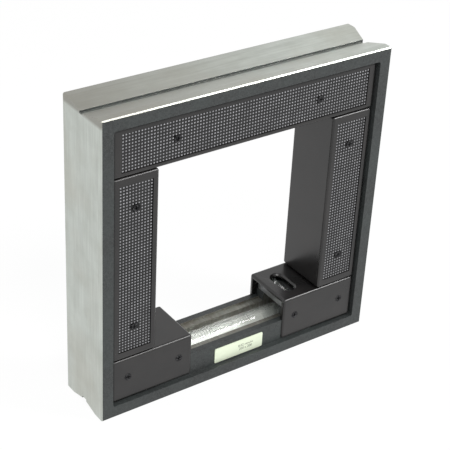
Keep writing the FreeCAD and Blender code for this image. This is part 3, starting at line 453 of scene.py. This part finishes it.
@kept
def vial_spirit():
    """The spirit in a vial: nearly colourless, a trace of green-yellow where it is deep."""
    material, tree, place = start_material("vial_spirit")
    swirl = noise(tree, place, 20.0, 1.0, 0.5)
    surface = add_node(tree, "ShaderNodeBsdfPrincipled", {}, {
        "Base Color": rgba(linear("F4FAEE")), "Transmission Weight": 1.0, "IOR": 1.36,
        "Roughness": remap(tree, swirl, 0.0, 1.0, 0.0, 0.01)})
    close_material(tree, see_through(tree, surface, SPIRIT_CLEAR))
    return material


@kept
def spirit_bubble():
    """The gas bubble in the spirit. Its index is air's over the spirit's, so that its rim
    shows dark as a real bubble's does."""
    material, tree, place = start_material("spirit_bubble")
    film = noise(tree, place, 3.0, 1.0, 0.5)
    surface = add_node(tree, "ShaderNodeBsdfPrincipled", {}, {
        "Base Color": rgba(linear("FBFDFB")), "Transmission Weight": 1.0, "IOR": 0.74,
        "Roughness": remap(tree, film, 0.0, 1.0, 0.0, 0.01)})
    close_material(tree, see_through(tree, surface, BUBBLE_CLEAR))
    return material


@kept
def printed_aluminium():
    """Anodised aluminium plate with a pale printed ground: satin, faintly brushed lengthwise."""
    material, tree, place = start_material("printed_aluminium")
    along = add_node(tree, "ShaderNodeMapping", {}, {"Vector": place, "Scale": (0.05, 1.0, 1.0)})
    brushed = noise(tree, along.outputs["Vector"], 0.5, 3.0, 0.6)
    colour = mix_colour(tree, brushed, shade(colours().plate, 0.9), rgba(colours().plate))
    surface = add_node(tree, "ShaderNodeBsdfPrincipled", {}, {
        "Base Color": colour, "Metallic": 0.15,
        "Roughness": remap(tree, brushed, 0.3, 0.7, 0.32, 0.45)})
    close_material(tree, surface)
    return material


@kept
def printing_ink():
    """Screen-printed or fused black: a thin matt film."""
    material, tree, place = start_material("printing_ink")
    coverage = noise(tree, place, 0.3, 2.0, 0.5)
    colour = mix_colour(tree, coverage, rgba(colours().print_ink), shade(colours().print_ink, 1.6))
    surface = add_node(tree, "ShaderNodeBsdfPrincipled", {}, {"Base Color": colour, "Roughness": 0.6})
    close_material(tree, surface)
    return material


# ---------------------------------------------------------------- mesh helpers

def node_bmesh(node):
    """A CAD node's mesh with its loose triangles joined."""
    bm = bmesh.new()
    bm.from_mesh(frame["nodes"][node].data)
    bmesh.ops.remove_doubles(bm, verts=bm.verts, dist=MERGE)
    bmesh.ops.dissolve_degenerate(bm, edges=bm.edges, dist=MERGE)
    return bm


def join_flats(bm):
    """Make the flat faces whole."""
    bmesh.ops.dissolve_limit(bm, angle_limit=FLAT, use_dissolve_boundaries=False,
                             verts=bm.verts, edges=bm.edges)
    return bm


def finish_piece(name, bm, materials, node, replaced=()):
    """Turn a bmesh into a piece that rides and is finished as a CAD node is."""
    mesh = bpy.data.meshes.new(name)
    bm.to_mesh(mesh)
    bm.free()
    for material in materials:
        mesh.materials.append(material)
    mesh.shade_smooth()
    mesh.set_sharp_from_angle(angle=SMOOTH_ANGLE)
    piece = bpy.data.objects.new(name, mesh)
    bpy.context.scene.collection.objects.link(piece)
    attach(piece, frame["nodes"][node]["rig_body"])
    if replaced:
        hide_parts(*replaced)
    return piece


def even_shading(piece):
    """Let large flat faces keep their own direction where a small rounding meets them."""
    weighted = piece.modifiers.new("even_shading", "WEIGHTED_NORMAL")
    weighted.keep_sharp = True
    weighted.weight = LARGE_FACES_FIRST


def dress_node(node, material):
    """Give a CAD node that keeps its own shape a real finish."""
    piece = frame["nodes"][node]
    piece.data.materials.clear()
    piece.data.materials.append(material)
    return piece


def light_passes(piece):
    """Keep a clear piece from throwing a shadow on the bed under it."""
    piece.visible_shadow = False
    piece.visible_diffuse = False


def spun(profile, centre, axis, turn, steps):
    """Surface swept by a line of points about an axis."""
    bm = bmesh.new()
    verts = [bm.verts.new(spot) for spot in profile]
    edges = [bm.edges.new(pair) for pair in zip(verts, verts[1:])]
    full = abs(turn - 2 * math.pi) < 1e-6
    bmesh.ops.spin(bm, geom=verts + edges, cent=centre, axis=axis, angle=turn, steps=steps,
                   use_merge=full, use_duplicate=False)
    bmesh.ops.remove_doubles(bm, verts=bm.verts, dist=MERGE)
    bmesh.ops.recalc_face_normals(bm, faces=bm.faces)
    return bm


def middle_of(node):
    """Middle of a CAD node's box."""
    low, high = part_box(node)
    return (low + high) / 2


# ---------------------------------------------------------------- casting

GROUND_DEPTH = 4.7 * MM    # the V-grooves and their relief slots go less deep than this
TROUGH_LOW = 7.5 * MM      # the milled seat of the vial lies between these heights
TROUGH_HIGH = 22.5 * MM
TROUGH_HALF_WIDTH = 13.0 * MM
TROUGH_HALF_LENGTH = 61.2 * MM
EDGE_ANGLE = math.radians(35)    # edges sharper than this are broken


def casting_surface(face, half_width, half_depth, mid_height):
    """Which finish a face of the casting has: 0 enamel, 1 ground, 2 milled."""
    centre = face.calc_center_median()
    reach = max(abs(centre.x), abs(centre.z - mid_height))
    if reach > half_width - GROUND_DEPTH and abs(centre.y) < half_depth - MERGE:
        return 1
    in_trough = TROUGH_LOW < centre.z < TROUGH_HIGH and abs(centre.y) < TROUGH_HALF_WIDTH
    if in_trough and abs(centre.x) < TROUGH_HALF_LENGTH:
        return 2
    return 0


class LEVEL_OT_casting(bpy.types.Operator):
    """Frame casting: ground outside, enamelled inside, with its edges broken"""
    bl_idname = "level.casting"
    bl_label = "Frame casting"

    def execute(self, context):
        bm = join_flats(node_bmesh("frame_casting"))
        low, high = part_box("frame_casting")
        half_sizes = ((high.x - low.x) / 2, (high.y - low.y) / 2)
        for face in bm.faces:
            face.material_index = casting_surface(face, *half_sizes, (low.z + high.z) / 2)
        materials = (crackle_enamel(), ground_cast_iron(), milled_cast_iron())
        piece = finish_piece("frame_casting_shell", bm, materials, "frame_casting",
                             ("frame_casting",))
        edges = piece.modifiers.new("edge_break", "BEVEL")
        edges.width = sizes().edge_break
        edges.segments = 2
        edges.limit_method = "ANGLE"
        edges.angle_limit = EDGE_ANGLE
        even_shading(piece)
        return {"FINISHED"}


# ---------------------------------------------------------------- grips

FIELD_MARGIN = 5.0 * MM     # plain end of a grip beyond its knurl
SEAT_RADIUS = 2.5 * MM      # everything nearer to a screw's middle is its countersunk seat
COLLAR_RADIUS = 2.6 * MM    # low collar that stands round a screw's seat
COLLAR_SIDES = 32
BARE_RADIUS = 2.0 * MM      # no pyramid stands nearer than this to a screw's middle
FIELD_SLACK = 0.02 * MM     # the field is cleared this much wider
FLOOR_SLACK = 0.05 * MM     # and this much deeper than its valleys
ROWS_ACROSS = {"top_grip": 12, "left_grip": 11, "right_grip": 11}


def knurl_field(node):
    """Middle and half sizes (across X and Z) of a grip's knurled field."""
    low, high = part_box(node)
    centre = (low + high) / 2
    across = ROWS_ACROSS[node] * sizes().knurl_pitch / 2
    if node == "top_grip":
        return centre, (high.x - low.x) / 2 - FIELD_MARGIN, across
    return centre, across, (high.z - low.z) / 2 - FIELD_MARGIN


def screw_places(cover):
    """Middles, in X and Z, of the screws that hold a cover."""
    spots = [middle_of(name) for name in frame["nodes"] if name.startswith(f"{cover}_screw_front")]
    return [(spot.x, spot.z) for spot in spots]


def off_screws(place, screws, radius):
    """Whether a place is further than a radius from every screw's middle."""
    return all(math.hypot(place.x - x, place.z - z) > radius for x, z in screws)


def clear_field(bm, node, screws):
    """Take out the ridges of the construction model and the flat pads round its screws."""
    centre, half_x, half_z = knurl_field(node)
    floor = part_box(node)[1].y - sizes().knurl_depth - FLOOR_SLACK

    def in_field(spot):
        along_x = abs(spot.x - centre.x) < half_x + FIELD_SLACK
        along_z = abs(spot.z - centre.z) < half_z + FIELD_SLACK
        return along_x and along_z and abs(spot.y) > floor

    def in_seat(face):
        return not off_screws(face.calc_center_median(), screws, SEAT_RADIUS)

    doomed = [face for face in bm.faces
              if all(in_field(vert.co) for vert in face.verts) and not in_seat(face)]
    bmesh.ops.delete(bm, geom=doomed, context="FACES")


def add_collars(bm, node, side, screws):
    """Low round walls between the knurl and the screws' countersunk seats."""
    face_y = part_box(node)[1].y
    depth = sizes().knurl_depth
    turn = Matrix.Rotation(-side * math.pi / 2, 4, "X")
    for x, z in screws:
        middle = Matrix.Translation((x, side * (face_y - depth / 2), z))
        bmesh.ops.create_cone(bm, cap_ends=False, segments=COLLAR_SIDES, radius1=COLLAR_RADIUS,
                              radius2=COLLAR_RADIUS, depth=depth, matrix=middle @ turn)


def add_pyramids(bm, node, side, screws):
    """Pyramids of the knurl on one face of a grip, with a low wall round the field."""
    centre, half_x, half_z = knurl_field(node)
    pitch, depth = sizes().knurl_pitch, sizes().knurl_depth
    face_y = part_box(node)[1].y
    turn = Matrix.Rotation(-side * math.pi / 2, 4, "X")
    place = Matrix.Translation((centre.x, side * (face_y - depth), centre.z))
    size = Matrix.Diagonal((half_x, half_z, 1.0, 1.0))
    columns, rows = round(2 * half_x / pitch), round(2 * half_z / pitch)
    made = bmesh.ops.create_grid(bm, x_segments=columns, y_segments=rows, size=1.0,
                                 matrix=place @ turn @ size)
    cells = list({face for vert in made["verts"] for face in vert.link_faces})
    bare = [face for face in cells if not off_screws(face.calc_center_median(), screws, BARE_RADIUS)]
    bmesh.ops.delete(bm, geom=bare, context="FACES")
    cells = [face for face in cells if face.is_valid]
    rim = {edge for face in cells for edge in face.edges if len(edge.link_faces) == 1}
    outer = [edge for edge in rim
             if off_screws((edge.verts[0].co + edge.verts[1].co) / 2, screws, 2 * pitch)]
    wall = bmesh.ops.extrude_edge_only(bm, edges=outer)
    lifted = [item for item in wall["geom"] if isinstance(item, bmesh.types.BMVert)]
    bmesh.ops.translate(bm, verts=lifted, vec=(0.0, side * depth, 0.0))
    for face in cells:
        face.material_index = 1
    bmesh.ops.poke(bm, faces=cells, offset=depth - sizes().tip_drop)


class LEVEL_OT_grips(bpy.types.Operator):
    """Knurled grips of the top bar and of both sides"""
    bl_idname = "level.grips"
    bl_label = "Knurled grips"

    def execute(self, context):
        for node in ROWS_ACROSS:
            bm = node_bmesh(node)
            screws = screw_places(node)
            clear_field(bm, node, screws)
            join_flats(bm)
            for side in (-1, 1):
                add_pyramids(bm, node, side, screws)
                add_collars(bm, node, side, screws)
            materials = (moulded_abs(), knurled_abs())
            even_shading(finish_piece(f"{node}_shell", bm, materials, node, (node,)))
        return {"FINISHED"}


class LEVEL_OT_end_caps(bpy.types.Operator):
    """Moulded caps over the ends of the vial, the right one with the sight slot"""
    bl_idname = "level.end_caps"
    bl_label = "End caps"

    def execute(self, context):
        for node in ("left_end_cap", "right_end_cap"):
            bm = join_flats(node_bmesh(node))
            even_shading(finish_piece(f"{node}_shell", bm, (moulded_abs(),), node, (node,)))
        return {"FINISHED"}


class LEVEL_OT_screws(bpy.types.Operator):
    """Cross-recess screws of the covers, the bridge and the saddle"""
    bl_idname = "level.screws"
    bl_label = "Screws"

    def execute(self, context):
        names = [name for name in frame["nodes"] if "_screw_" in name]
        if not names:
            raise RuntimeError("the frame holds no screws")
        for name in names:
            dress_node(name, blackened_steel())
        return {"FINISHED"}


# ---------------------------------------------------------------- name plate

MARKING_SHIFT = 0.14        # the marking stands right of the plate's middle by this share of its width
PLATE_EDGE = 0.15 * MM      # rounding of the plate's front edge
INK_FILM = 0.01 * MM        # half the thickness of the printed film


class LEVEL_OT_plate(bpy.types.Operator):
    """Printed plate with the vial's sensitivity"""
    bl_idname = "level.plate"
    bl_label = "Plate"

    def execute(self, context):
        bm = join_flats(node_bmesh("name_plate"))
        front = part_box("name_plate")[0].y
        rim = [edge for edge in bm.edges if all(abs(vert.co.y - front) < MERGE for vert in edge.verts)]
        bmesh.ops.bevel(bm, geom=rim, offset=PLATE_EDGE, offset_type="OFFSET", affect="EDGES",
                        segments=2, profile=0.5, material=-1)
        finish_piece("name_plate_shell", bm, (printed_aluminium(),), "name_plate",
                     ("name_plate",))
        self.print_marking(front)
        return {"FINISHED"}

    def print_marking(self, front):
        """Print the marking as a thin film on the plate's front."""
        curve = bpy.data.curves.new("marking", "FONT")
        curve.body = sizes().marking
        curve.size = sizes().letter_height
        curve.align_x = "CENTER"
        curve.align_y = "CENTER"
        curve.extrude = INK_FILM
        text = bpy.data.objects.new("marking", curve)
        mesh = bpy.data.meshes.new_from_object(text)
        middle = middle_of("name_plate")
        low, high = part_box("name_plate")
        width = high.x - low.x
        spot = Matrix.Translation((middle.x + MARKING_SHIFT * width, front, middle.z))
        mesh.transform(spot @ Matrix.Rotation(math.pi / 2, 4, "X"))
        bm = bmesh.new()
        bm.from_mesh(mesh)
        bpy.data.objects.remove(text)
        finish_piece("name_plate_marking", bm, (printing_ink(),), "name_plate")


# ---------------------------------------------------------------- vials

GLASS_WALL = 1.3 * MM        # main vial, glass between its outside and its bore
CROSS_WALL = 0.8 * MM
END_WALL = 2.5 * MM          # glass beyond the ends of the bore
CROSS_END_WALL = 1.5 * MM
BARREL_RISE = 0.2 * MM       # bore radius lost at the ends
OVERLAP = 0.02 * MM          # the spirit reaches into the glass, so that no gap shows
FILM = 0.02 * MM             # a graduation line stands off the glass by this
LINES_PER_SIDE = 6
MAIN_SPREAD = math.radians(100)     # how far a line reaches round each vial
CROSS_SPREAD = math.radians(150)
BORE_STATIONS = 12
VIAL_STEPS = 48
AXES = {"X": (1.0, 0.0, 0.0), "Y": (0.0, 1.0, 0.0)}


def spirit_profile(half_length, radius):
    """Points of the bore's barrel shape, from one end's middle to the other's."""
    points = [(-half_length, 0.0)]
    for step in range(BORE_STATIONS + 1):
        share = 2 * step / BORE_STATIONS - 1
        points.append((share * half_length, radius - BARREL_RISE * share ** 2))
    points.append((half_length, 0.0))
    return points


def along_axis(lengthwise, out, centre, axis):
    """A point beside a vial's axis, at a distance along it and out from it."""
    if axis == "X":
        return (centre.x + lengthwise, centre.y, centre.z + out)
    return (centre.x, centre.y + lengthwise, centre.z + out)


def add_spirit(name, node, axis, half_length, radius):
    """Fill a vial's bore with spirit."""
    centre = middle_of(node)
    profile = [along_axis(far, out, centre, axis) for far, out in spirit_profile(half_length, radius)]
    bm = spun(profile, centre, AXES[axis], 2 * math.pi, VIAL_STEPS)
    light_passes(finish_piece(name, bm, (vial_spirit(),), node))


def add_lines(name, node, axis, stations, radius, spread):
    """Graduation lines: thin bands over the top of a vial."""
    centre = middle_of(node)
    whole = bmesh.new()
    half = sizes().line_width / 2
    for station in stations:
        ends = (station - half, station + half)
        profile = [along_axis(end, radius + FILM, centre, axis) for end in ends]
        band = spun(profile, centre, AXES[axis], spread, VIAL_STEPS // 2)
        turn = Matrix.Rotation(-spread / 2, 4, axis)
        home = Matrix.Translation(centre)
        bmesh.ops.transform(band, matrix=home @ turn @ home.inverted(), verts=band.verts)
        bmesh.ops.solidify(band, geom=band.faces, thickness=FILM / 2)
        part = bpy.data.meshes.new("band")
        band.to_mesh(part)
        band.free()
        whole.from_mesh(part)
        bpy.data.meshes.remove(part)
    bmesh.ops.recalc_face_normals(whole, faces=whole.faces)
    finish_piece(name, whole, (printing_ink(),), node)


class LEVEL_OT_main_vial(bpy.types.Operator):
    """Main vial: glass, spirit, bubble, graduation lines, its bed and its carrier"""
    bl_idname = "level.main_vial"
    bl_label = "Main vial"

    def execute(self, context):
        low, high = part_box("main_vial_glass")
        half, radius = (high.x - low.x) / 2, (high.z - low.z) / 2
        dress_node("vial_carrier", diecast_aluminium())
        dress_node("vial_bed", white_bed_enamel())
        dress_node("left_vial_packing", vial_packing_rubber())
        dress_node("right_vial_packing", vial_packing_rubber())
        light_passes(dress_node("main_vial_glass", ground_vial_glass()))
        light_passes(dress_node("main_bubble", spirit_bubble()))
        add_spirit("main_vial_spirit", "main_vial_glass", "X", half - END_WALL + OVERLAP,
                   radius - GLASS_WALL + OVERLAP)
        bubble_low, bubble_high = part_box("main_bubble")
        first = (bubble_high.x - bubble_low.x) / 2
        steps = [first + count * sizes().line_step for count in range(LINES_PER_SIDE)]
        stations = [-far for far in reversed(steps)] + steps
        add_lines("main_vial_graduation", "main_vial_glass", "X", stations, radius, MAIN_SPREAD)
        return {"FINISHED"}


class LEVEL_OT_cross_vial(bpy.types.Operator):
    """Cross vial in its saddle under the sight slot"""
    bl_idname = "level.cross_vial"
    bl_label = "Cross vial"

    def execute(self, context):
        low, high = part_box("cross_vial_glass")
        half, radius = (high.y - low.y) / 2, (high.x - low.x) / 2
        dress_node("cross_vial_saddle", diecast_aluminium())
        light_passes(dress_node("cross_vial_glass", ground_vial_glass()))
        light_passes(dress_node("cross_bubble", spirit_bubble()))
        add_spirit("cross_vial_spirit", "cross_vial_glass", "Y", half - CROSS_END_WALL + OVERLAP,
                   radius - CROSS_WALL + OVERLAP)
        bubble_low, bubble_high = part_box("cross_bubble")
        first = (bubble_high.y - bubble_low.y) / 2
        add_lines("cross_vial_graduation", "cross_vial_glass", "Y", (-first, first), radius,
                  CROSS_SPREAD)
        return {"FINISHED"}


class LEVEL_OT_adjustment(bpy.types.Operator):
    """Pivot pin, adjusting bridge, screw and ring under the caps"""
    bl_idname = "level.adjustment"
    bl_label = "Pivot and adjustment"

    def execute(self, context):
        dress_node("pivot_pin", bright_steel())
        dress_node("adjusting_bridge", bright_steel())
        dress_node("retaining_ring", bright_steel())
        dress_node("adjusting_screw", turned_brass())
        return {"FINISHED"}


# ---------------------------------------------------------------- stage

FLOOR_SHADOW = 0.06      # how much of the floor's own shading shows, so that it keeps a faint shadow
FLOOR_HALF = 2.5
AMBIENT = 0.62           # light from all round
WHITE = (1.0, 1.0, 1.0, 1.0)
LAMPS_AIM = (0.0, 0.0, 0.1)
# Each lamp's name, place, width and power.
LAMPS = (
    ("key_softbox", (0.8, -0.8, 1.1), 0.45, 15.0),
    ("left_softbox", (-1.2, 0.1, 0.7), 0.8, 5.0),
    ("front_softbox", (-0.35, -1.0, 1.3), 0.6, 9.0),
)


def background_rays(tree):
    """1 for rays that should see the plain white background."""
    path = add_node(tree, "ShaderNodeLightPath")
    first = add_node(tree, "ShaderNodeMath", {"operation": "MAXIMUM"},
                     {0: path.outputs["Is Camera Ray"], 1: path.outputs["Is Glossy Ray"]})
    both = add_node(tree, "ShaderNodeMath", {"operation": "MAXIMUM"},
                    {0: first.outputs[0], 1: path.outputs["Is Transmission Ray"]})
    return both.outputs[0]


def studio_floor():
    """Matt white paper sweep: bright enough to run into the background."""
    material, tree, place = start_material("white_paper_sweep")
    seen = add_node(tree, "ShaderNodeMath", {"operation": "MULTIPLY"},
                    {0: background_rays(tree), 1: 1.0 - FLOOR_SHADOW})
    fibre = noise(tree, place, 2.0, 2.0, 0.5)
    tone = mix_colour(tree, fibre, rgba(linear("F2F2F2")), rgba(linear("F6F6F6")))
    paper = add_node(tree, "ShaderNodeBsdfDiffuse", {}, {"Color": tone})
    glow = add_node(tree, "ShaderNodeEmission", {}, {"Color": WHITE, "Strength": 1.0})
    surface = add_node(tree, "ShaderNodeMixShader", {}, {0: seen.outputs[0], 1: paper.outputs[0],
                                                         2: glow.outputs[0]})
    close_material(tree, surface)
    return material


def light_world():
    """Even white light from all round, on a white background."""
    world = bpy.data.worlds.new("studio")
    world.use_nodes = True
    tree = world.node_tree
    tree.nodes.clear()
    soft = add_node(tree, "ShaderNodeBackground", {}, {"Color": WHITE, "Strength": AMBIENT})
    white = add_node(tree, "ShaderNodeBackground", {}, {"Color": WHITE, "Strength": 1.0})
    mixed = add_node(tree, "ShaderNodeMixShader", {}, {0: background_rays(tree), 1: soft.outputs[0],
                                                       2: white.outputs[0]})
    add_node(tree, "ShaderNodeOutputWorld", {}, {"Surface": mixed.outputs[0]})
    bpy.context.scene.world = world


def add_lamp(name, spot, size, power):
    """A round soft lamp that points at the middle of the level."""
    lamp = bpy.data.lights.new(name, "AREA")
    lamp.shape = "DISK"
    lamp.size = size
    lamp.energy = power
    holder = bpy.data.objects.new(name, lamp)
    holder.location = spot
    towards = Vector(LAMPS_AIM) - Vector(spot)
    holder.rotation_euler = towards.to_track_quat("-Z", "Y").to_euler()
    bpy.context.scene.collection.objects.link(holder)


class LEVEL_OT_stage(bpy.types.Operator):
    """Paper sweep, soft lamps, white surroundings and the camera"""
    bl_idname = "level.stage"
    bl_label = "Stage"

    def execute(self, context):
        bm = bmesh.new()
        bmesh.ops.create_grid(bm, x_segments=4, y_segments=4, size=FLOOR_HALF)
        mesh = bpy.data.meshes.new("paper_sweep")
        bm.to_mesh(mesh)
        bm.free()
        mesh.materials.append(studio_floor())
        floor = bpy.data.objects.new("paper_sweep", mesh)
        context.scene.collection.objects.link(floor)
        light_world()
        for lamp in LAMPS:
            add_lamp(*lamp)
        self.add_camera(context)
        return {"FINISHED"}

    def add_camera(self, context):
        """Stand the camera in front of the level, to its left and above it."""
        data = bpy.data.cameras.new("camera")
        data.sensor_width = SENSOR
        data.lens = CAMERA_LENS
        data.clip_start = 0.01
        holder = bpy.data.objects.new("camera", data)
        look = (CAMERA_AIM - CAMERA_SPOT).to_track_quat("-Z", "Y").to_matrix().to_4x4()
        roll = Matrix.Rotation(CAMERA_ROLL, 4, "Z")
        holder.matrix_world = Matrix.Translation(CAMERA_SPOT) @ look @ roll
        context.scene.collection.objects.link(holder)
        context.scene.camera = holder


# ---------------------------------------------------------------- panel and main

OPERATORS = (LEVEL_OT_casting, LEVEL_OT_grips, LEVEL_OT_end_caps, LEVEL_OT_screws, LEVEL_OT_plate,
             LEVEL_OT_main_vial, LEVEL_OT_cross_vial, LEVEL_OT_adjustment, LEVEL_OT_stage)


class LEVEL_PT_panel(bpy.types.Panel):
    """Sizes, colours and the steps that build the level"""
    bl_idname = "LEVEL_PT_panel"
    bl_label = "Frame level"
    bl_space_type = "VIEW_3D"
    bl_region_type = "UI"
    bl_category = "Frame level"

    def draw(self, context):
        for name in SIZE_NAMES:
            self.layout.prop(context.scene.level_sizes, name)
        for name in COLOUR_NAMES:
            self.layout.prop(context.scene.level_colours, name)
        for operator in OPERATORS:
            self.layout.operator(operator.bl_idname)


CLASSES = (LevelSizes, LevelColours, *OPERATORS, LEVEL_PT_panel)


def register():
    for item in CLASSES:
        bpy.utils.register_class(item)
    bpy.types.Scene.level_sizes = bpy.props.PointerProperty(type=LevelSizes)
    bpy.types.Scene.level_colours = bpy.props.PointerProperty(type=LevelColours)


def unregister():
    del bpy.types.Scene.level_colours
    del bpy.types.Scene.level_sizes
    for item in reversed(CLASSES):
        bpy.utils.unregister_class(item)


def main():
    register()
    bpy.context.scene.view_settings.view_transform = "Standard"
    bpy.ops.level.casting()
    bpy.ops.level.grips()
    bpy.ops.level.end_caps()
    bpy.ops.level.screws()
    bpy.ops.level.plate()
    bpy.ops.level.main_vial()
    bpy.ops.level.cross_vial()
    bpy.ops.level.adjustment()
    bpy.ops.level.stage()


if __name__ == "__main__":
    main()
